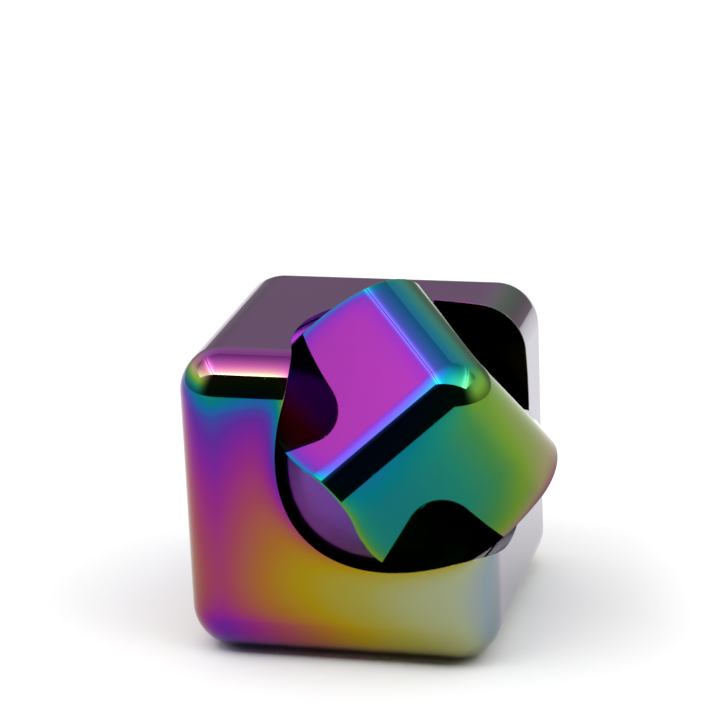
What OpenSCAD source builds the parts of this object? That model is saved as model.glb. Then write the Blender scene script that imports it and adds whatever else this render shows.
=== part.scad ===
// Spinning-corner fidget cube.
// A rounded metal cube has one corner cut out by a cylinder that lies on the cube's body diagonal.
// The corner that was cut out spins in the cavity, on a small ball bearing in the cavity's floor.
// The cube rests on the XY plane, centred on the Z axis. The spin axis leaves at the +X, -Y, +Z corner.

/* [Cube] */
// Length of the cube's side
cube_side = 28; // [27:0.5:32]
// Radius of the rounded edges and corners
edge_radius = 4; // [3:0.25:4.5]

/* [Spinning corner] */
// Radius of the cavity around the spin axis
cavity_radius = 13.25; // [13:0.05:13.5]
// Space between the spinning corner and the cavity wall
side_gap = 0.65; // [0.4:0.05:1]
// Space between the spinning corner and the cavity floor
floor_gap = 0.6; // [0.4:0.05:1]
// Height of the cavity floor over the cube's centre, along the spin axis
floor_height = 3.45; // [3:0.05:4]
// Angle of the spinning corner from its closed position
rest_turn = 54; // [0:1:119]

/* [Axle] */
// Radius of the axle inside the spinning corner
axle_radius = 2.5; // [2:0.1:3]
// Depth of the axle's hole in the spinning corner
axle_hole_depth = 7; // [5:0.5:9]
// Thickness of the axle's head, under the bearing
head_thickness = 0.8; // [0.6:0.1:1]

/* [Hidden] */
round_steps = 96;
wire_round_steps = 32;
// Extra length by which a cut runs out past the face it opens
cut_overlap = 1;

// Ball bearing: 6.35 x 12.7 x 4.762 mm with ten balls of 1/16 inch
ring_width = 4.762;
bore_radius = 3.175;
outer_radius = 6.35;
ball_radius = 0.79375;
ball_circle_radius = 4.7625;
ball_count = 10;
// Running clearance between a ball and each groove, and between a ball and its pocket
ball_clearance = 0.02;
pocket_clearance = 0.05;
inner_shoulder_radius = 4.2;
outer_shoulder_radius = 5.32;
// Shields: thin discs against a step in the outer ring, each held by a wire snap ring
shield_hole_radius = 4.32;
shield_recess_radius = 5.7;
shield_step_depth = 0.62;
shield_thickness = 0.2;
wire_radius = 0.18;
wire_circle_radius = 5.6;
wire_gap_angle = 24;
wire_clearance = 0.02;
shield_step_height = ring_width / 2 - shield_step_depth;
wire_groove_width = 2 * (wire_radius + wire_clearance);
wire_groove_radius = wire_circle_radius + wire_radius + wire_clearance;
// Crown cage: a ring on one side of the balls with prongs between them
cage_inner_radius = 4.42;
cage_outer_radius = 5.1;
cage_back = -1.2;
cage_front = 0.55;

// The spin axis runs from the cube's centre to its +X, -Y, +Z corner
axis_tilt = acos(1 / sqrt(3));
axis_heading = -45;
corner_height = cube_side * sqrt(3) / 2;

// Heights along the spin axis, from the cube's centre
rotor_bottom = floor_height + floor_gap;
rotor_radius = cavity_radius - side_gap;
bearing_middle = floor_height - ring_width / 2;
seat_bottom = floor_height - ring_width;
// The axle's head turns freely in a pocket under the bearing
head_radius = 3.9;
head_room = 0.6;
pocket_radius = 4.6;
pocket_depth = head_thickness + head_room;
washer_radius = 3.9;
// Space left between the axle's upper end and the bottom of its hole
axle_end_gap = 0.5;
axle_length = floor_gap + axle_hole_depth - axle_end_gap;

$fn = round_steps;

// Puts what is drawn along +Z from the origin on the spin axis, from the cube's centre
module on_spin_axis() {
    translate([0, 0, cube_side / 2])
        rotate([0, axis_tilt, axis_heading])
            children();
}

// Puts what is drawn around the origin at the middle of the bearing
module in_bearing() {
    on_spin_axis()
        translate([0, 0, bearing_middle])
            children();
}

// A cube around the origin with round edges and corners
module rounded_cube(side, radius) {
    flat = side - 2 * radius;
    inset = flat / 2;
    cube([side, flat, flat], center = true);
    cube([flat, side, flat], center = true);
    cube([flat, flat, side], center = true);
    for (turn = [[0, 0, 0], [90, 0, 0], [0, 90, 0]], x = [-inset, inset], y = [-inset, inset])
        rotate(turn)
            translate([x, y, 0])
                cylinder(h = flat, r = radius, center = true);
    for (x = [-inset, inset], y = [-inset, inset], z = [-inset, inset])
        translate([x, y, z])
            sphere(r = radius);
}

// A round tube around the Z axis, between two heights
module tube(outside, inside, bottom, top) {
    rotate_extrude()
        translate([inside, bottom])
            square([outside - inside, top - bottom]);
}

module cube_body() {
    color("mediumorchid")
        difference() {
            translate([0, 0, cube_side / 2])
                rounded_cube(cube_side, edge_radius);
            on_spin_axis() {
                translate([0, 0, floor_height])
                    cylinder(h = corner_height, r = cavity_radius);
                translate([0, 0, seat_bottom])
                    cylinder(h = ring_width + cut_overlap, r = outer_radius);
                translate([0, 0, seat_bottom - pocket_depth])
                    cylinder(h = pocket_depth + cut_overlap, r = pocket_radius);
            }
        }
}

// The same rounded cube, turned about the spin axis, inside a slimmer cylinder
module spinning_corner() {
    color("mediumseagreen")
        on_spin_axis()
            difference() {
                intersection() {
                    rotate([0, 0, rest_turn])
                        rotate([0, -axis_tilt, 0])
                            rotate([0, 0, -axis_heading])
                                rounded_cube(cube_side, edge_radius);
                    translate([0, 0, rotor_bottom])
                        cylinder(h = corner_height, r = rotor_radius);
                }
                translate([0, 0, rotor_bottom - cut_overlap])
                    cylinder(h = axle_hole_depth + cut_overlap, r = axle_radius);
            }
}

// Headed pin: the head is under the inner ring, and the slimmer end is pressed into the rotor
module axle_pin() {
    color("silver")
        on_spin_axis() {
            translate([0, 0, seat_bottom - head_thickness])
                cylinder(h = head_thickness, r = head_radius);
            translate([0, 0, seat_bottom])
                cylinder(h = ring_width, r = bore_radius);
            translate([0, 0, floor_height])
                cylinder(h = axle_length, r = axle_radius);
        }
}

module spacer_washer() {
    color("gainsboro")
        on_spin_axis()
            tube(washer_radius, axle_radius, floor_height, rotor_bottom);
}

// Ball groove, a little rounder than the balls, for taking out of a ring
module ball_groove() {
    rotate_extrude()
        translate([ball_circle_radius, 0])
            circle(r = ball_radius + ball_clearance);
}

// Step and wire groove for a shield, cut from the outer ring's top face
module shield_recess() {
    translate([0, 0, shield_step_height])
        cylinder(h = shield_step_depth + cut_overlap, r = shield_recess_radius);
    translate([0, 0, shield_step_height + shield_thickness])
        cylinder(h = wire_groove_width, r = wire_groove_radius);
}

module bearing_outer_ring() {
    color("lightsteelblue")
        in_bearing()
            difference() {
                tube(outer_radius, outer_shoulder_radius, -ring_width / 2, ring_width / 2);
                ball_groove();
                shield_recess();
                mirror([0, 0, 1])
                    shield_recess();
            }
}

module bearing_inner_ring() {
    color("lightsteelblue")
        in_bearing()
            difference() {
                tube(inner_shoulder_radius, bore_radius, -ring_width / 2, ring_width / 2);
                ball_groove();
            }
}

module bearing_ball(number) {
    color("white")
        in_bearing()
            rotate([0, 0, number * 360 / ball_count])
                translate([ball_circle_radius, 0, 0])
                    sphere(r = ball_radius);
}

module bearing_cage() {
    color("goldenrod")
        in_bearing()
            difference() {
                tube(cage_outer_radius, cage_inner_radius, cage_back, cage_front);
                for (i = [1:ball_count])
                    rotate([0, 0, i * 360 / ball_count])
                        translate([ball_circle_radius, 0, 0])
                            sphere(r = ball_radius + pocket_clearance);
            }
}

// Shield as it lies in the bearing's top side
module shield() {
    shield_top = shield_step_height + shield_thickness;
    tube(shield_recess_radius, shield_hole_radius, shield_step_height, shield_top);
}

// Wire ring, open over a small angle, that lies on the shield in the bearing's top side
module snap_ring() {
    wire_height = shield_step_height + shield_thickness + wire_radius;
    rotate([0, 0, wire_gap_angle / 2])
        rotate_extrude(angle = 360 - wire_gap_angle)
            translate([wire_circle_radius, wire_height])
                circle(r = wire_radius, $fn = wire_round_steps);
}

module bearing_shield_top() {
    color("gray")
        in_bearing()
            shield();
}

module bearing_shield_bottom() {
    color("gray")
        in_bearing()
            mirror([0, 0, 1])
                shield();
}

module shield_ring_top() {
    color("dimgray")
        in_bearing()
            snap_ring();
}

module shield_ring_bottom() {
    color("dimgray")
        in_bearing()
            mirror([0, 0, 1])
                snap_ring();
}

cube_body();
spinning_corner();
axle_pin();
spacer_washer();
bearing_outer_ring();
bearing_inner_ring();
bearing_cage();
bearing_shield_top();
bearing_shield_bottom();
shield_ring_top();
shield_ring_bottom();
for (i = [1:ball_count])
    bearing_ball(i);
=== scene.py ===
import math

import bmesh
import bpy
from bpy.props import FloatProperty, FloatVectorProperty, IntProperty, PointerProperty
from mathutils import Matrix, Quaternion, Vector


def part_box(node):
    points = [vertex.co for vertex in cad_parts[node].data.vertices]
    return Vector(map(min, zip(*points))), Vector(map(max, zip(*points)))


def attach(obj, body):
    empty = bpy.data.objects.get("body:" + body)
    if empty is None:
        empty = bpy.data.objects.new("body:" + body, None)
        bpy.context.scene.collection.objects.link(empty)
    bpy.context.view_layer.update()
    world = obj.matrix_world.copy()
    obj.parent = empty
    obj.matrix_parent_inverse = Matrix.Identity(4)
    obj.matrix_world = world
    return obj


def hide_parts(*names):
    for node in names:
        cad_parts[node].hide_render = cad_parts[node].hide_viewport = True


bl_info = {
    "name": "Spinning-corner cube",
    "version": (1, 0, 0),
    "blender": (4, 5, 0),
    "location": "View3D > Sidebar > Spinning Cube",
    "description": "Builds a rainbow-coated metal cube with a spinning corner around its frame",
    "category": "Object",
}

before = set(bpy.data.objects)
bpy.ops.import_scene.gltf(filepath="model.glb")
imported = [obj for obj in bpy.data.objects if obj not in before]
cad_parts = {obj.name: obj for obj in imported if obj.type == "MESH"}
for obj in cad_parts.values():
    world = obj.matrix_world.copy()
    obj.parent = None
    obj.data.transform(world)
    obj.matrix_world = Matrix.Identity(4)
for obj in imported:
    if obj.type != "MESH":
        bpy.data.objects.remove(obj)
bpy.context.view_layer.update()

MM = 0.001
BODY_NODE = "cube_body"
CORNER_NODE = "spinning_corner"
body_low, body_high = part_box(BODY_NODE)
FRAME_SIDE = round(body_high.z - body_low.z, 6)
SPIN_AXIS = Vector((1, -1, 1)).normalized()


# ---------------------------------------------------------------- sizes and colours

def length(name, description, default):
    return FloatProperty(
        name=name, description=description, default=default, min=0, unit="LENGTH", precision=5
    )


def share(name, description, default, most=1.0):
    return FloatProperty(name=name, description=description, default=default, min=0, max=most)


def colour(name, default):
    return FloatVectorProperty(
        name=name,
        description=f"Colour of the coating where its film is {name.lower()}",
        subtype="COLOR",
        size=3,
        min=0,
        max=1,
        default=default,
    )


class CubeSizes(bpy.types.PropertyGroup):
    """Sizes of the cube, its cavity and the bearing's seat."""

    side: length("Side", "Length of the cube's side", FRAME_SIDE)
    edge_radius: length("Edge radius", "Radius of the rounded edges and corners", 4 * MM)
    cavity_radius: length("Cavity radius", "Radius of the cavity around the spin axis", 13.25 * MM)
    floor_height: length("Floor height", "Cavity floor over the cube's centre, on the axis", 3.45 * MM)
    seat_radius: length("Seat radius", "Radius of the bearing's seat", 6.35 * MM)
    seat_depth: length("Seat depth", "Depth of the bearing's seat", 4.762 * MM)
    pocket_radius: length("Pocket radius", "Radius of the room for the axle's head", 4.6 * MM)
    pocket_depth: length("Pocket depth", "Depth of the room for the axle's head", 1.4 * MM)
    rim_width: length("Rim width", "Width of the broken edge around the cavity", 0.1 * MM)
    round_segments: IntProperty(
        name="Round segments", description="Steps in each rounded edge", default=24, min=4, max=48
    )
    turned_steps: IntProperty(
        name="Turned steps", description="Steps around each turned shape", default=256, min=32, max=512
    )


class CornerSizes(bpy.types.PropertyGroup):
    """Sizes of the corner that spins."""

    radius: length("Radius", "Radius of the spinning corner around its axis", 12.6 * MM)
    floor_gap: length("Floor gap", "Space between the corner and the cavity floor", 0.6 * MM)
    axle_radius: length("Axle radius", "Radius of the axle's hole", 2.5 * MM)
    axle_depth: length("Axle depth", "Depth of the axle's hole", 7 * MM)
    rim_width: length("Rim width", "Width of the broken edge around the corner's cut", 0.08 * MM)
    turn: FloatProperty(
        name="Turn",
        description="Angle of the corner from its closed position",
        subtype="ANGLE",
        default=math.radians(54),
    )


class CoatingColours(bpy.types.PropertyGroup):
    """Colours of the coating, from its thinnest film to its thickest."""

    silver: colour("Silver", (0.34, 0.32, 0.36))
    slate: colour("Slate", (0.22, 0.28, 0.31))
    olive: colour("Olive", (0.28, 0.31, 0.18))
    straw: colour("Straw", (0.266, 0.25, 0.044))
    gold: colour("Gold", (0.292, 0.202, 0.004))
    bronze: colour("Bronze", (0.292, 0.107, 0.019))
    rose: colour("Rose", (0.27, 0.045, 0.08))
    magenta: colour("Magenta", (0.238, 0.021, 0.171))
    purple: colour("Purple", (0.162, 0.015, 0.246))
    violet: colour("Violet", (0.089, 0.021, 0.254))
    blue: colour("Blue", (0.038, 0.048, 0.287))
    azure: colour("Azure", (0.007, 0.107, 0.283))
    teal: colour("Teal", (0.002, 0.15, 0.175))
    sea_green: colour("Sea green", (0.009, 0.195, 0.127))
    green: colour("Green", (0.042, 0.212, 0.054))
    leaf: colour("Leaf", (0.138, 0.262, 0.019))
    yellow: colour("Yellow", (0.25, 0.22, 0.1))
    peach: colour("Peach", (0.22, 0.1, 0.11))
    pink: colour("Pink", (0.22, 0.045, 0.15))
    plum: colour("Plum", (0.17, 0.025, 0.19))
    mauve: colour("Mauve", (0.16, 0.06, 0.18))
    sage: colour("Sage", (0.07, 0.12, 0.08))
    blush: colour("Blush", (0.28, 0.17, 0.25))
    pearl: colour("Pearl", (0.34, 0.32, 0.37))


class StudioSettings(bpy.types.PropertyGroup):
    """Light, floor and camera of the studio."""

    softbox: share("Softbox", "Brightness of the softbox overhead", 3.4, 20)
    side_glow: share("Side glow", "Brightness of the tent's side walls", 1.5, 20)
    back_glow: share("Back glow", "Brightness of the tent's back wall, high up", 1.1, 20)
    opening_glow: share("Opening glow", "Brightness of the tent's front opening", 0.015, 20)
    floor_colour: FloatVectorProperty(
        name="Floor", description="Colour of the floor", subtype="COLOR", size=3,
        min=0, max=1, default=(0.69, 0.69, 0.695),
    )
    lens: FloatProperty(
        name="Lens", description="Focal length of the camera in millimetres", default=145.07
    )


SETTINGS = {
    "cube_sizes": CubeSizes,
    "corner_sizes": CornerSizes,
    "coating_colours": CoatingColours,
    "studio_settings": StudioSettings,
}

# Each film colour and its place in the order of thickness, where 1 is a whole order
FILM_ORDER = {
    "silver": -0.08, "slate": 0.0, "olive": 0.08, "straw": 0.16, "gold": 0.24, "bronze": 0.32,
    "rose": 0.4, "magenta": 0.46, "purple": 0.52, "violet": 0.58, "blue": 0.64, "azure": 0.7,
    "teal": 0.76, "sea_green": 0.82, "green": 0.88, "leaf": 0.94, "yellow": 1.02, "peach": 1.1,
    "pink": 1.18, "plum": 1.26, "mauve": 1.34, "sage": 1.46, "blush": 1.58, "pearl": 1.7,
}
THINNEST = min(FILM_ORDER.values())
THICKEST = max(FILM_ORDER.values())


# ---------------------------------------------------------------- meshes

def on_spin_axis(centre):
    """Turns what stands on the Z axis so that it stands on the spin axis, from the cube's centre."""
    tilt = Quaternion((0, 1, 0), math.acos(SPIN_AXIS.z))
    heading = Quaternion((0, 0, 1), math.atan2(SPIN_AXIS.y, SPIN_AXIS.x))
    return Matrix.Translation(centre) @ (heading @ tilt).to_matrix().to_4x4()


def rounded_cube(side, radius, segments):
    """A cube around the origin with round edges and corners."""
    made = bmesh.new()
    bmesh.ops.create_cube(made, size=side)
    bmesh.ops.bevel(
        made, geom=made.edges[:] + made.verts[:], offset=radius, offset_type="OFFSET",
        segments=segments, profile=0.5, affect="EDGES", material=-1, clamp_overlap=False,
    )
    return made


def turned_shape(profile, steps):
    """A solid turned around the Z axis, from the (radius, height) points of its outline."""
    made = bmesh.new()
    points = [made.verts.new((radius, 0, height)) for radius, height in profile]
    lines = [made.edges.new(pair) for pair in zip(points, points[1:])]
    bmesh.ops.spin(
        made, geom=points + lines, cent=(0, 0, 0), axis=(0, 0, 1), angle=math.tau,
        steps=steps, use_merge=True,
    )
    bmesh.ops.remove_doubles(made, verts=made.verts[:], dist=1e-8)
    bmesh.ops.recalc_face_normals(made, faces=made.faces[:])
    return made


def placed_object(made, name, place):
    """A new object at the origin, whose mesh is the bmesh put in its place."""
    bmesh.ops.transform(made, matrix=place, verts=made.verts[:])
    mesh = bpy.data.meshes.new(name)
    made.to_mesh(mesh)
    made.free()
    piece = bpy.data.objects.new(name, mesh)
    bpy.context.scene.collection.objects.link(piece)
    return piece


def cut(piece, tool, operation):
    """Takes the tool out of the piece, or leaves only what both share, and removes the tool."""
    modifier = piece.modifiers.new("Cut", "BOOLEAN")
    modifier.object = tool
    modifier.operation = operation
    modifier.solver = "EXACT"
    seen = bpy.context.evaluated_depsgraph_get()
    whole = bpy.data.meshes.new_from_object(piece.evaluated_get(seen))
    piece.modifiers.clear()
    old = piece.data
    piece.data = whole
    bpy.data.meshes.remove(old)
    bpy.data.objects.remove(tool)


SHARP_ANGLE = math.radians(20)


def sharp_edges(made):
    return [e for e in made.edges if len(e.link_faces) == 2 and e.calc_face_angle() > SHARP_ANGLE]


def break_rims(piece, width):
    """Bevels the sharp edges that the cuts left."""
    made = bmesh.new()
    made.from_mesh(piece.data)
    on_rims = list({v for e in sharp_edges(made) for v in e.verts})
    bmesh.ops.remove_doubles(made, verts=on_rims, dist=0.4 * width)
    on_rims = list({v for e in sharp_edges(made) for v in e.verts})
    near = bmesh.ops.find_doubles(made, verts=made.verts[:], keep_verts=on_rims, dist=0.8 * width)
    bmesh.ops.weld_verts(made, targetmap=near["targetmap"])
    bmesh.ops.dissolve_degenerate(made, edges=made.edges[:], dist=1e-7)
    bmesh.ops.bevel(
        made, geom=sharp_edges(made), offset=width, offset_type="OFFSET", segments=3,
        profile=0.5, affect="EDGES", material=-1, clamp_overlap=False, loop_slide=True,
    )
    bmesh.ops.recalc_face_normals(made, faces=made.faces[:])
    made.to_mesh(piece.data)
    made.free()


def outward(point, half_flat):
    """Which way the rounded cube's skin faces at a point, from the cube's centre."""
    nearest = Vector([max(-half_flat, min(half_flat, part)) for part in point])
    return (point - nearest).normalized()


def from_axis(point):
    """The way from the spin axis to a point that is given from the cube's centre."""
    return (point - SPIN_AXIS * point.dot(SPIN_AXIS)).normalized()


def smooth_skins(piece, centre, turn, half_flat):
    """Gives each corner of each face the exact normal of the skin or bore that the face lies on."""
    mesh = piece.data
    back = Quaternion(SPIN_AXIS, -turn)
    forth = Quaternion(SPIN_AXIS, turn)

    def choices(place):
        point = place - centre
        skin = forth @ outward(back @ point, half_flat)
        around = from_axis(point)
        return [skin, around, -around, SPIN_AXIS, -SPIN_AXIS]

    found = [choices(v.co) for v in mesh.vertices]
    kinds = []
    for face in mesh.polygons:
        middle = choices(face.center)
        fits = [face.normal.dot(way) for way in middle]
        best = max(range(len(fits)), key=fits.__getitem__)
        kinds.append(best if fits[best] > math.cos(math.radians(4)) else None)
    held = {}
    for face, kind in zip(mesh.polygons, kinds):
        if kind is not None:
            for v in face.vertices:
                held.setdefault(v, set()).add(kind)
    normals = [Vector()] * len(mesh.loops)
    for face, kind in zip(mesh.polygons, kinds):
        for loop in face.loop_indices:
            v = mesh.loops[loop].vertex_index
            own = held.get(v, set())
            if kind is not None:
                normals[loop] = found[v][kind]
            elif len(own) == 1:
                normals[loop] = found[v][next(iter(own))]
            else:
                normals[loop] = mesh.vertices[v].normal.copy()
    for face in mesh.polygons:
        face.use_smooth = True
    mesh.normals_split_custom_set(normals)


# ---------------------------------------------------------------- shader nodes

def connect(tree, socket, value):
    """Links a socket's source, or sets its value."""
    if isinstance(value, bpy.types.NodeSocket):
        tree.links.new(value, socket)
    else:
        socket.default_value = value


def number(tree, operation, *values):
    """One Math node."""
    node = tree.nodes.new("ShaderNodeMath")
    node.operation = operation
    for socket, value in zip(node.inputs, values):
        connect(tree, socket, value)
    return node.outputs[0]


def times(tree, first, second):
    return number(tree, "MULTIPLY", first, second)


def arrow(tree, operation, *values, output=0):
    """One Vector Math node."""
    node = tree.nodes.new("ShaderNodeVectorMath")
    node.operation = operation
    for socket, value in zip(node.inputs, values):
        connect(tree, socket, value)
    return node.outputs[output]


def parts(tree, vector):
    node = tree.nodes.new("ShaderNodeSeparateXYZ")
    connect(tree, node.inputs[0], vector)
    return node.outputs


def total(tree, *values):
    """The sum of several values."""
    found = values[0]
    for value in values[1:]:
        found = number(tree, "ADD", found, value)
    return found


def smooth_step(tree, value, low, high, first=0.0, last=1.0):
    """Goes smoothly from first, where the value is low, to last, where it is high."""
    node = tree.nodes.new("ShaderNodeMapRange")
    node.interpolation_type = "SMOOTHSTEP"
    connect(tree, node.inputs["Value"], value)
    node.inputs["From Min"].default_value = low
    node.inputs["From Max"].default_value = high
    connect(tree, node.inputs["To Min"], first)
    connect(tree, node.inputs["To Max"], last)
    return node.outputs["Result"]


def fade(tree, value, start, reach):
    """1 at start, fading to nothing as the value grows past it.

    With a negative reach it fades as the value falls below start.
    """
    away = number(tree, "DIVIDE", number(tree, "SUBTRACT", start, value), reach)
    return number(tree, "EXPONENT", number(tree, "MINIMUM", away, 0.0))


def mix_colours(tree, part, first, last):
    """A colour between two others. Each is a socket, or plain red, green and blue."""
    node = tree.nodes.new("ShaderNodeMix")
    node.data_type = "RGBA"
    connect(tree, node.inputs[0], part)
    for socket, value in zip((node.inputs[6], node.inputs[7]), (first, last)):
        connect(tree, socket, value if isinstance(value, bpy.types.NodeSocket) else (*value, 1.0))
    return node.outputs[2]


def noise(tree, vector, scale, detail=2.0, roughness=0.5):
    node = tree.nodes.new("ShaderNodeTexNoise")
    connect(tree, node.inputs["Vector"], vector)
    node.inputs["Scale"].default_value = scale
    node.inputs["Detail"].default_value = detail
    node.inputs["Roughness"].default_value = roughness
    return node.outputs["Fac"]


def new_group(name, inputs, outputs):
    """An empty node group with named inputs and outputs, and its two end nodes."""
    group = bpy.data.node_groups.new(name, "ShaderNodeTree")
    for socket_name, kind, default in inputs:
        socket = group.interface.new_socket(socket_name, in_out="INPUT", socket_type=kind)
        if default is not None:
            socket.default_value = default
    for socket_name, kind in outputs:
        group.interface.new_socket(socket_name, in_out="OUTPUT", socket_type=kind)
    return group, group.nodes.new("NodeGroupInput").outputs, group.nodes.new("NodeGroupOutput").inputs


NUMBER = "NodeSocketFloat"
VECTOR = "NodeSocketVector"
COLOUR = "NodeSocketColor"


def skin_group():
    """Which way the rounded cube's skin faces, and how deep a point lies under it."""
    group, given, out = new_group(
        "Cube Skin",
        [("Position", VECTOR, None), ("Half Flat", NUMBER, 10 * MM), ("Edge Radius", NUMBER, 4 * MM)],
        [("Outward", VECTOR), ("Depth", NUMBER)],
    )
    low = times(group, given["Half Flat"], -1.0)
    top = group.nodes.new("ShaderNodeCombineXYZ")
    bottom = group.nodes.new("ShaderNodeCombineXYZ")
    for i in range(3):
        connect(group, top.inputs[i], given["Half Flat"])
        connect(group, bottom.inputs[i], low)
    nearest = arrow(group, "MAXIMUM", given["Position"], bottom.outputs[0])
    nearest = arrow(group, "MINIMUM", nearest, top.outputs[0])
    way = arrow(group, "SUBTRACT", given["Position"], nearest)
    connect(group, out["Outward"], arrow(group, "NORMALIZE", way))
    reach = arrow(group, "LENGTH", way, output="Value")
    connect(group, out["Depth"], number(group, "SUBTRACT", given["Edge Radius"], reach))
    return group


def order_group():
    """Blends the film orders of the six sides around the rounded edges."""
    sides = ["Front", "Back", "Left", "Right", "Bottom"]
    group, given, out = new_group(
        "Film Order",
        [("Outward", VECTOR, None)] + [(side, NUMBER, 0.5) for side in sides]
        + [("Top", NUMBER, 0.5), ("Top Spread", NUMBER, 1.5)],
        [("Order", NUMBER)],
    )
    forward = parts(group, arrow(group, "MAXIMUM", given["Outward"], (0.0, 0.0, 0.0)))
    turned = arrow(group, "SCALE", given["Outward"])
    turned.node.inputs["Scale"].default_value = -1.0
    backward = parts(group, arrow(group, "MAXIMUM", turned, (0.0, 0.0, 0.0)))

    def weighed(facing, side):
        return times(group, times(group, facing, facing), given[side])

    around = total(
        group, weighed(backward[1], "Front"), weighed(forward[1], "Back"),
        weighed(backward[0], "Left"), weighed(forward[0], "Right"), weighed(backward[2], "Bottom"),
    )
    rest = number(group, "SUBTRACT", 1.0, times(group, forward[2], forward[2]))
    rest = number(group, "MAXIMUM", rest, 0.0001)
    spread = number(group, "POWER", rest, given["Top Spread"])
    sides_part = times(group, number(group, "DIVIDE", around, rest), spread)
    top_part = times(group, given["Top"], number(group, "SUBTRACT", 1.0, spread))
    connect(group, out["Order"], number(group, "ADD", sides_part, top_part))
    return group


def film_group(colours):
    """The colour of the coating at a film order."""
    group, given, out = new_group("Film Colour", [("Order", NUMBER, 0.5)], [("Colour", COLOUR)])
    width = THICKEST - THINNEST
    place = number(group, "DIVIDE", number(group, "SUBTRACT", given["Order"], THINNEST), width)
    ramp = group.nodes.new("ShaderNodeValToRGB")
    stops = ramp.color_ramp.elements
    stops.remove(stops[1])
    for i, (name, order) in enumerate(FILM_ORDER.items()):
        stop = stops[0] if i == 0 else stops.new((order - THINNEST) / width)
        stop.position = (order - THINNEST) / width
        stop.color = (*getattr(colours, name), 1.0)
    connect(group, ramp.inputs[0], place)
    connect(group, out["Colour"], ramp.outputs["Color"])
    return group


def rim_group():
    """How far a point is from a cut around the spin axis. It is positive outside the cut."""
    group, given, out = new_group(
        "Rim Distance", [("Position", VECTOR, None), ("Radius", NUMBER, 0.0)], [("Distance", NUMBER)]
    )
    off = arrow(group, "CROSS_PRODUCT", given["Position"], tuple(SPIN_AXIS))
    off = arrow(group, "LENGTH", off, output="Value")
    connect(group, out["Distance"], number(group, "SUBTRACT", off, given["Radius"]))
    return group


def polish_group():
    """Fine polishing marks, haze and specks on a bright metal surface."""
    group, given, out = new_group(
        "Polish",
        [("Position", VECTOR, None), ("Roughness", NUMBER, 0.04), ("Haze", NUMBER, 0.02),
         ("Marks", NUMBER, 0.02)],
        [("Roughness", NUMBER), ("Height", NUMBER), ("Specks", NUMBER)],
    )
    haze = smooth_step(group, noise(group, given["Position"], 220, 4, 0.6), 0.4, 0.8)
    marks = []
    for turn, stretch in (((0.3, 0.1, 0.6), (90, 3000, 3000)), ((0.9, 0.5, 2.1), (3200, 110, 3200))):
        mapping = group.nodes.new("ShaderNodeMapping")
        connect(group, mapping.inputs["Vector"], given["Position"])
        mapping.inputs["Rotation"].default_value = turn
        mapping.inputs["Scale"].default_value = stretch
        streak = noise(group, mapping.outputs[0], 1.0, 1)
        marks.append(smooth_step(group, streak, 0.66, 0.74))
    mark = number(group, "MAXIMUM", *marks)
    specks = smooth_step(group, noise(group, given["Position"], 2600, 0), 0.79, 0.83)
    extra = total(
        group,
        times(group, haze, given["Haze"]),
        times(group, mark, given["Marks"]),
        times(group, specks, 0.1),
    )
    connect(group, out["Roughness"], number(group, "ADD", given["Roughness"], extra))
    raised, sunk = times(group, haze, 0.2), times(group, mark, 0.5)
    connect(group, out["Height"], number(group, "SUBTRACT", raised, sunk))
    connect(group, out["Specks"], specks)
    return group


def turning_group():
    """Fine rings that a lathe leaves around the spin axis."""
    group, given, out = new_group(
        "Turning Marks",
        [("Position", VECTOR, None), ("Pitch", NUMBER, 0.05 * MM), ("Roughness", NUMBER, 0.2)],
        [("Shade", NUMBER), ("Roughness", NUMBER), ("Height", NUMBER)],
    )
    off = arrow(group, "CROSS_PRODUCT", given["Position"], tuple(SPIN_AXIS))
    off = arrow(group, "LENGTH", off, output="Value")
    along = arrow(group, "DOT_PRODUCT", given["Position"], tuple(SPIN_AXIS), output="Value")
    place = number(group, "DIVIDE", number(group, "ADD", off, along), given["Pitch"])
    ring = group.nodes.new("ShaderNodeTexNoise")
    ring.noise_dimensions = "1D"
    connect(group, ring.inputs["W"], place)
    ring.inputs["Scale"].default_value = 1.0
    ring.inputs["Detail"].default_value = 3.0
    rings = ring.outputs["Fac"]
    cloud = noise(group, given["Position"], 300, 3)
    connect(group, out["Shade"], number(group, "ADD", 0.88, times(group, cloud, 0.2)))
    rough = times(group, number(group, "ADD", rings, 0.5), given["Roughness"])
    connect(group, out["Roughness"], rough)
    connect(group, out["Height"], rings)
    return group


def placed_group(tree, group, **values):
    """Puts a node group in a material, with values for its inputs by name."""
    node = tree.nodes.new("ShaderNodeGroup")
    node.node_tree = group
    for name, value in values.items():
        connect(tree, node.inputs[name.replace("_", " ")], value)
    return node.outputs


def shared_group(name, make, *given):
    return bpy.data.node_groups.get(name) or make(*given)


def centred_position(tree, centre, turn=0.0):
    """Object coordinates from the cube's centre, with a turn about the spin axis undone."""
    place = tree.nodes.new("ShaderNodeTexCoord").outputs["Object"]
    mapping = tree.nodes.new("ShaderNodeMapping")
    back = Quaternion(SPIN_AXIS, -turn)
    mapping.inputs["Rotation"].default_value = back.to_euler("XYZ")
    mapping.inputs["Location"].default_value = -(back @ centre)
    connect(tree, mapping.inputs["Vector"], place)
    return mapping.outputs[0]


def new_material(name):
    """A material, its node tree and its Principled shader."""
    material = bpy.data.materials.new(name)
    material.use_nodes = True
    return material, material.node_tree, material.node_tree.nodes["Principled BSDF"]


def bump(tree, shader, height, strength, distance):
    node = tree.nodes.new("ShaderNodeBump")
    node.inputs["Strength"].default_value = strength
    node.inputs["Distance"].default_value = distance
    connect(tree, node.inputs["Height"], height)
    connect(tree, shader.inputs["Normal"], node.outputs["Normal"])


# Depths under the cube's skin between which a cut face's film takes over from the skin's
CUT_STARTS, CUT_WHOLE = 0.06 * MM, 0.25 * MM
# Where the flat part of a side ends, in sides of the cube from its centre
FLAT_END = 0.357


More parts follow.
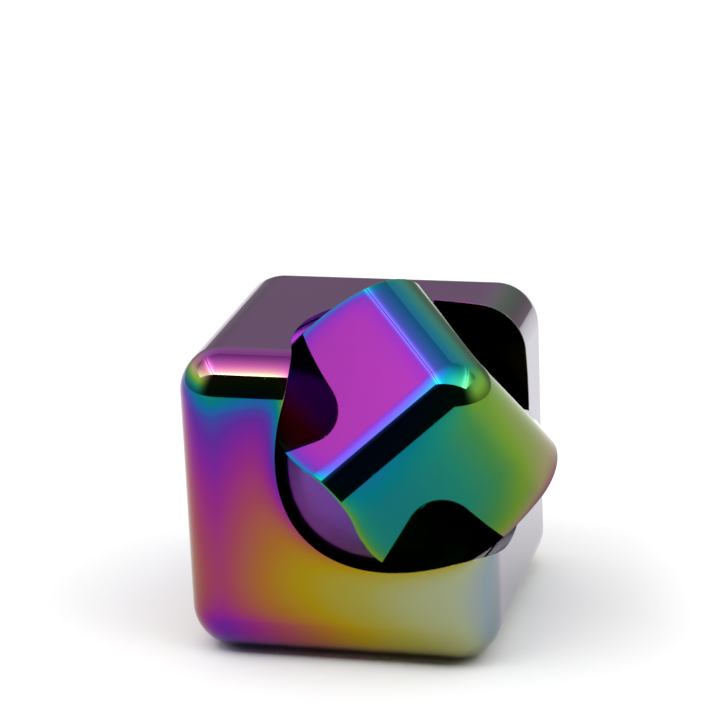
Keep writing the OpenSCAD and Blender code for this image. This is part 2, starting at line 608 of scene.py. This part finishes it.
def coated_metal(name, sizes, colours, turn, side_orders, cut_radius, top_spread, pale_side=False):
    """Polished metal under a rainbow film.

    side_orders gives the film order of each side, from a place in sides of the cube.
    With pale_side, the flat of the right side is pearly all over.
    """
    material, tree, shader = new_material(name)
    centre = Vector((0, 0, sizes.side / 2))
    position = centred_position(tree, centre, turn)
    skin = placed_group(
        tree, shared_group("Cube Skin", skin_group), Position=position,
        Half_Flat=sizes.side / 2 - sizes.edge_radius, Edge_Radius=sizes.edge_radius,
    )
    rim = placed_group(
        tree, shared_group("Rim Distance", rim_group), Position=position, Radius=cut_radius
    )["Distance"]
    rim = number(tree, "DIVIDE", rim, sizes.side)
    scaled = arrow(tree, "SCALE", position)
    scaled.node.inputs["Scale"].default_value = 1 / sizes.side
    place = parts(tree, scaled)
    orders, inside = side_orders(tree, place, rim)
    order = placed_group(
        tree, shared_group("Film Order", order_group), Outward=skin["Outward"],
        Top_Spread=top_spread, **orders,
    )["Order"]
    deep = smooth_step(tree, skin["Depth"], CUT_STARTS, CUT_WHOLE)
    mixed = tree.nodes.new("ShaderNodeMix")
    connect(tree, mixed.inputs[0], deep)
    connect(tree, mixed.inputs[2], order)
    connect(tree, mixed.inputs[3], inside)
    # The film's thickness wanders a little from place to place
    drift = number(tree, "SUBTRACT", noise(tree, position, 110, 3), 0.5)
    order = number(tree, "ADD", mixed.outputs[0], times(tree, drift, 0.03))
    film = placed_group(tree, shared_group("Film Colour", film_group, colours), Order=order)["Colour"]
    if pale_side:
        facing_right = parts(tree, skin["Outward"])[0]
        film = mix_colours(tree, smooth_step(tree, facing_right, 0.97, 1.0), film, colours.pearl)
    # Painted shade: the cut faces in the cavity are mixed towards black, more towards the right
    painted_cut_shade = times(tree, deep, smooth_step(tree, place[0], -0.1, 0.15, 0.0, 0.75))
    connect(tree, shader.inputs["Base Color"], mix_colours(tree, painted_cut_shade, film, (0.0, 0.0, 0.0)))
    shader.inputs["Metallic"].default_value = 1.0
    polish = placed_group(
        tree, shared_group("Polish", polish_group), Position=position, Roughness=0.035,
        Haze=0.02, Marks=0.02,
    )
    rough = number(tree, "ADD", polish["Roughness"], times(tree, deep, 0.12))
    connect(tree, shader.inputs["Roughness"], rough)
    bump(tree, shader, polish["Height"], 0.2, 0.002 * MM)
    return material


def body_orders(tree, place, rim):
    """Film order of the cube body's sides, and of its cavity."""
    x, y, z = place[0], place[1], place[2]
    # The front's film grows thicker to the left and upwards, and near the rim, the top and the bottom
    low_z = number(tree, "MAXIMUM", z, -0.37)
    rise = number(tree, "ADD", times(tree, low_z, 0.33), times(tree, times(tree, low_z, low_z), 0.525))
    across = times(tree, fade(tree, x, -0.36, 0.49), 0.43)
    near_rim = times(tree, fade(tree, rim, 0.0, 0.022), 0.45)
    near_rim = times(tree, near_rim, number(tree, "ADD", low_z, 0.4))
    near_top = times(tree, fade(tree, z, FLAT_END, -0.04), 0.11)
    near_bottom = times(tree, fade(tree, z, -0.37, 0.05), smooth_step(tree, x, -0.3, 0.4, 0.13, 0.04))
    front = total(tree, 0.03, across, rise, near_rim, near_top, near_bottom)
    bottom = number(tree, "ADD", front, 0.07)
    # The top is plum, and sage along its right edge
    right_edge = smooth_step(tree, x, 0.3, 0.43, 0.0, 0.2)
    top = total(tree, FILM_ORDER["plum"], times(tree, x, -0.03), right_edge)
    # The left and right sides run through the rainbow towards the top
    right = smooth_step(tree, z, 0.05, 0.36, -0.04, 1.75)
    high_up = times(tree, smooth_step(tree, z, -0.5, 0.42, 0.0, 1.07), smooth_step(tree, y, -0.38, 0.05))
    left = total(tree, 0.33, times(tree, z, 0.1), high_up)
    back = total(tree, 0.62, times(tree, x, -0.25), times(tree, z, 0.3))
    inside = smooth_step(tree, z, 0.3, 0.45, 0.22, 0.56)
    sides = {"Front": front, "Back": back, "Left": left, "Right": right, "Top": top, "Bottom": bottom}
    return sides, inside


def corner_orders(tree, place, rim):
    """Film order of the spinning corner's sides, in its closed position, and of its cut faces."""
    x, y, z = place[0], place[1], place[2]
    inner = times(tree, rim, -1.0)
    # The film is a little thicker on the round tip, where the three sides meet
    tip = times(tree, smooth_step(tree, x, 0.35, 0.42), smooth_step(tree, z, 0.35, 0.42))
    tip = times(tree, tip, smooth_step(tree, y, -0.35, -0.42, 0.0, 0.035))
    # The top is magenta, and blue along the rim and the right edge
    near_rim = times(tree, fade(tree, inner, 0.0, 0.018), 0.25)
    near_edge = times(tree, fade(tree, x, FLAT_END, -0.03), 0.05)
    top = total(tree, 0.525, near_rim, tip, near_edge)
    # The front and the right side are green, and yellower towards the rim and the bottom
    lower = times(tree, number(tree, "MAXIMUM", number(tree, "SUBTRACT", 0.1, z), 0.0), 0.3)
    front_rim = times(tree, fade(tree, inner, 0.0, 0.02), 0.16)
    front = total(
        tree, 0.8, times(tree, times(tree, x, x), 0.9), times(tree, z, -0.1), front_rim, lower, tip
    )
    right = total(tree, 0.97, times(tree, fade(tree, z, 0.5, -0.12), -0.22), lower, tip)
    inside = total(tree, 0.6, times(tree, x, 0.3))
    sides = {"Front": front, "Back": 0.6, "Left": 0.6, "Right": right, "Top": top, "Bottom": 0.6}
    return sides, inside


def steel(name, centre, tint, roughness, pitch, depth):
    """Turned or ground steel, with rings around the spin axis."""
    material, tree, shader = new_material(name)
    position = centred_position(tree, centre)
    turned = placed_group(
        tree, shared_group("Turning Marks", turning_group), Position=position, Pitch=pitch,
        Roughness=roughness,
    )
    polish = placed_group(
        tree, shared_group("Polish", polish_group), Position=position, Roughness=turned["Roughness"],
        Haze=0.06, Marks=0.04,
    )
    dark_tint = [0.6 * part for part in tint]
    connect(tree, shader.inputs["Base Color"], mix_colours(tree, turned["Shade"], dark_tint, tint))
    shader.inputs["Metallic"].default_value = 1.0
    connect(tree, shader.inputs["Roughness"], polish["Roughness"])
    bump(tree, shader, turned["Height"], 0.3, depth)
    return material


# ---------------------------------------------------------------- operators

def dress(nodes, material):
    """Gives CAD nodes a material."""
    for name in nodes:
        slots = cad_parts[name].material_slots
        if not slots:
            raise RuntimeError(f"{name} has no material slot")
        for slot in slots:
            slot.material = material


class BuildCubeBody(bpy.types.Operator):
    """Builds the rounded cube with the cavity for its spinning corner."""

    bl_idname = "spinning_cube.body"
    bl_label = "Cube Body"

    def execute(self, context):
        sizes, colours = context.scene.cube_sizes, context.scene.coating_colours
        centre = Vector((0, 0, sizes.side / 2))
        body = placed_object(
            rounded_cube(sizes.side, sizes.edge_radius, sizes.round_segments),
            "body_shell", Matrix.Translation(centre),
        )
        floor, top = sizes.floor_height, 1.5 * sizes.side
        seat = floor - sizes.seat_depth
        pocket = seat - sizes.pocket_depth
        outline = [
            (0, top), (sizes.cavity_radius, top), (sizes.cavity_radius, floor),
            (sizes.seat_radius, floor), (sizes.seat_radius, seat),
            (sizes.pocket_radius, seat), (sizes.pocket_radius, pocket), (0, pocket),
        ]
        cutter = placed_object(turned_shape(outline, sizes.turned_steps), "cutter", on_spin_axis(centre))
        cut(body, cutter, "DIFFERENCE")
        break_rims(body, sizes.rim_width)
        smooth_skins(body, centre, 0, sizes.side / 2 - sizes.edge_radius)
        body.data.materials.append(coated_metal(
            "Rainbow Coated Body", sizes, colours, 0, body_orders, sizes.cavity_radius,
            top_spread=1.8, pale_side=True,
        ))
        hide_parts(BODY_NODE)
        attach(body, "body")
        return {"FINISHED"}


class BuildSpinningCorner(bpy.types.Operator):
    """Builds the corner that spins in the cavity, with the hole for its axle."""

    bl_idname = "spinning_cube.corner"
    bl_label = "Spinning Corner"

    def execute(self, context):
        sizes, colours = context.scene.cube_sizes, context.scene.coating_colours
        corner = context.scene.corner_sizes
        centre = Vector((0, 0, sizes.side / 2))
        turn = Quaternion(SPIN_AXIS, corner.turn).to_matrix().to_4x4()
        piece = placed_object(
            rounded_cube(sizes.side, sizes.edge_radius, sizes.round_segments),
            "spinning_corner_shell", Matrix.Translation(centre) @ turn,
        )
        bottom, top = sizes.floor_height + corner.floor_gap, 1.5 * sizes.side
        hole = bottom + corner.axle_depth
        outline = [
            (0, hole), (corner.axle_radius, hole), (corner.axle_radius, bottom),
            (corner.radius, bottom), (corner.radius, top), (0, top),
        ]
        keeper = placed_object(turned_shape(outline, sizes.turned_steps), "keeper", on_spin_axis(centre))
        cut(piece, keeper, "INTERSECT")
        break_rims(piece, corner.rim_width)
        smooth_skins(piece, centre, corner.turn, sizes.side / 2 - sizes.edge_radius)
        piece.data.materials.append(coated_metal(
            "Rainbow Coated Corner", sizes, colours, corner.turn, corner_orders, corner.radius,
            top_spread=0.3,
        ))
        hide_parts(CORNER_NODE)
        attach(piece, "rotor")
        return {"FINISHED"}


class FinishAxle(bpy.types.Operator):
    """Gives the axle and its spacer washer ground steel."""

    bl_idname = "spinning_cube.axle"
    bl_label = "Axle and Washer"

    def execute(self, context):
        centre = Vector((0, 0, context.scene.cube_sizes.side / 2))
        dress(["axle_pin", "spacer_washer"],
              steel("Ground Steel", centre, (0.56, 0.55, 0.53), 0.22, 0.06 * MM, 0.003 * MM))
        return {"FINISHED"}


class FinishRings(bpy.types.Operator):
    """Gives the bearing's two rings hardened steel."""

    bl_idname = "spinning_cube.rings"
    bl_label = "Bearing Rings"

    def execute(self, context):
        centre = Vector((0, 0, context.scene.cube_sizes.side / 2))
        dress(["bearing_outer_ring", "bearing_inner_ring"],
              steel("Bearing Steel", centre, (0.6, 0.6, 0.61), 0.12, 0.03 * MM, 0.001 * MM))
        return {"FINISHED"}


class FinishBalls(bpy.types.Operator):
    """Gives the bearing's balls mirror-bright steel."""

    bl_idname = "spinning_cube.balls"
    bl_label = "Bearing Balls"

    def execute(self, context):
        centre = Vector((0, 0, context.scene.cube_sizes.side / 2))
        balls = sorted(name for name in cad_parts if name.startswith("bearing_ball_"))
        dress(balls, steel("Ball Steel", centre, (0.7, 0.7, 0.71), 0.05, 0.02 * MM, 0.0003 * MM))
        return {"FINISHED"}


class FinishCage(bpy.types.Operator):
    """Gives the ball cage pressed steel."""

    bl_idname = "spinning_cube.cage"
    bl_label = "Bearing Cage"

    def execute(self, context):
        centre = Vector((0, 0, context.scene.cube_sizes.side / 2))
        dress(["bearing_cage"],
              steel("Cage Steel", centre, (0.5, 0.47, 0.42), 0.35, 0.08 * MM, 0.003 * MM))
        return {"FINISHED"}


class FinishShields(bpy.types.Operator):
    """Gives the bearing's shields and the wire rings that hold them their steel."""

    bl_idname = "spinning_cube.shields"
    bl_label = "Shields and Wire Rings"

    def execute(self, context):
        centre = Vector((0, 0, context.scene.cube_sizes.side / 2))
        dress(["bearing_shield_top", "bearing_shield_bottom"],
              steel("Shield Steel", centre, (0.42, 0.42, 0.43), 0.3, 0.05 * MM, 0.003 * MM))
        dress(["shield_ring_top", "shield_ring_bottom"],
              steel("Spring Wire", centre, (0.2, 0.2, 0.21), 0.28, 0.04 * MM, 0.002 * MM))
        return {"FINISHED"}


class BuildStudio(bpy.types.Operator):
    """Sets up the floor, the soft light, the room around them and the camera."""

    bl_idname = "spinning_cube.studio"
    bl_label = "Studio"

    def execute(self, context):
        scene, settings = context.scene, context.scene.studio_settings
        self.floor(settings)
        self.softbox(settings)
        self.room(settings)
        self.camera(scene, settings)
        scene.view_settings.view_transform = "Standard"
        return {"FINISHED"}

    def floor(self, settings):
        made = bmesh.new()
        bmesh.ops.create_grid(made, x_segments=1, y_segments=1, size=3)
        floor = placed_object(made, "studio_floor", Matrix())
        material, tree, shader = new_material("Studio Paper")
        position = tree.nodes.new("ShaderNodeTexCoord").outputs["Object"]
        darker = [0.99 * part for part in settings.floor_colour]
        paper = mix_colours(tree, noise(tree, position, 900, 4), darker, settings.floor_colour)
        connect(tree, shader.inputs["Base Color"], paper)
        shader.inputs["Roughness"].default_value = 0.9
        shader.inputs["Specular IOR Level"].default_value = 0.0
        floor.data.materials.append(material)

    def softbox(self, settings):
        """A bright panel overhead: three lamps with dark seams, brightest at the seams and in front."""
        height, low, high = 0.9, Vector((-1.4, -0.6)), Vector((1.1, 0.5))
        seams, slant, seam_start, seam_end = (-0.6, 0.68), 0.4, 0.015, 0.03
        made = bmesh.new()
        bmesh.ops.create_grid(made, x_segments=1, y_segments=1, size=0.5)
        bmesh.ops.scale(made, vec=(*(high - low), 1), verts=made.verts[:])
        panel = placed_object(made, "softbox", Matrix.Translation((*((low + high) / 2), height)))
        panel.visible_camera = False
        material, tree, shader = new_material("Softbox Cloth")
        tree.nodes.remove(shader)
        place = parts(tree, tree.nodes.new("ShaderNodeTexCoord").outputs["Object"])
        across = number(tree, "ADD", place[0], times(tree, place[1], slant))
        off_seams = [number(tree, "ABSOLUTE", number(tree, "SUBTRACT", across, seam)) for seam in seams]
        off_seam = number(tree, "MINIMUM", *off_seams)
        lit = smooth_step(tree, off_seam, seam_start, seam_end, 0.15, 1.0)
        edge = number(tree, "ADD", 1.0, times(tree, fade(tree, off_seam, seam_end, 0.075), 3.0))
        along = smooth_step(tree, place[1], -0.55, 0.55, 1.0, 0.2)
        strength = times(tree, times(tree, lit, edge), times(tree, along, settings.softbox))
        emission = tree.nodes.new("ShaderNodeEmission")
        connect(tree, emission.inputs["Strength"], strength)
        connect(tree, tree.nodes["Material Output"].inputs["Surface"], emission.outputs[0])
        panel.data.materials.append(material)

    def room(self, settings):
        """A light tent around the cube: bright sides, a dimmer back and a dark front opening."""
        world = bpy.data.worlds.new("Light Tent")
        world.use_nodes = True
        tree = world.node_tree
        way = parts(tree, tree.nodes.new("ShaderNodeTexCoord").outputs["Generated"])
        x, y, z = way[0], way[1], way[2]
        level = number(tree, "ADD", times(tree, x, x), times(tree, y, y))
        level = number(tree, "MAXIMUM", number(tree, "SQRT", level), 0.001)
        side_wall = smooth_step(tree, z, -0.05, 0.45, 0.5, settings.side_glow)
        back_wall = smooth_step(tree, z, 0.15, 0.75, 0.3, settings.back_glow)
        sideways = number(tree, "DIVIDE", number(tree, "ABSOLUTE", x), level)
        on_side = smooth_step(tree, sideways, 0.35, 0.9)
        on_back = number(tree, "SUBTRACT", 1.0, on_side)
        walls = number(tree, "ADD", times(tree, side_wall, on_side), times(tree, back_wall, on_back))
        # The opening lies in front, turned ten degrees to the right
        heading = number(tree, "SUBTRACT", times(tree, x, 0.17), times(tree, y, 0.985))
        heading = number(tree, "DIVIDE", heading, level)
        closed = number(tree, "SUBTRACT", 1.0, smooth_step(tree, heading, 0.15, 0.8))
        glow = number(tree, "ADD", times(tree, walls, closed), settings.opening_glow)
        # The camera itself sees plain white
        straight = tree.nodes.new("ShaderNodeLightPath").outputs["Is Camera Ray"]
        mirrored = number(tree, "SUBTRACT", 1.0, straight)
        seen = number(tree, "ADD", straight, times(tree, glow, mirrored))
        background = tree.nodes["Background"]
        background.inputs["Color"].default_value = (1, 1, 1, 1)
        connect(tree, background.inputs["Strength"], seen)
        bpy.context.scene.world = world

    def camera(self, scene, settings):
        camera = bpy.data.cameras.new("Camera")
        camera.lens = settings.lens
        camera.sensor_width = 36
        camera.clip_start, camera.clip_end = 0.01, 20
        holder = bpy.data.objects.new("Camera", camera)
        holder.location = (60.64 * MM, -239.25 * MM, 108.18 * MM)
        aim = Vector((-0.963, 2.776, 22.538)) * MM
        look = (aim - holder.location).to_track_quat("-Z", "Y")
        holder.rotation_mode = "QUATERNION"
        holder.rotation_quaternion = look @ Quaternion((0, 0, 1), math.radians(-2.44))
        scene.collection.objects.link(holder)
        scene.camera = holder


OPERATORS = [
    BuildCubeBody, BuildSpinningCorner, FinishAxle, FinishRings, FinishBalls, FinishCage,
    FinishShields, BuildStudio,
]


class SpinningCubePanel(bpy.types.Panel):
    """Lists the pieces of the spinning-corner cube and their sizes."""

    bl_idname = "VIEW3D_PT_spinning_cube"
    bl_label = "Spinning Cube"
    bl_space_type = "VIEW_3D"
    bl_region_type = "UI"
    bl_category = "Spinning Cube"

    def draw(self, context):
        for operator in OPERATORS:
            self.layout.operator(operator.bl_idname)
        for name, group in SETTINGS.items():
            box = self.layout.box()
            box.label(text=group.__doc__)
            for key in group.__annotations__:
                box.prop(getattr(context.scene, name), key)


CLASSES = [*SETTINGS.values(), *OPERATORS, SpinningCubePanel]


def register():
    for made in CLASSES:
        bpy.utils.register_class(made)
    for name, group in SETTINGS.items():
        setattr(bpy.types.Scene, name, PointerProperty(type=group))


def unregister():
    for name in SETTINGS:
        delattr(bpy.types.Scene, name)
    for made in reversed(CLASSES):
        bpy.utils.unregister_class(made)


def main():
    register()
    for operator in OPERATORS:
        family, name = operator.bl_idname.split(".")
        getattr(getattr(bpy.ops, family), name)()


if __name__ == "__main__":
    main()
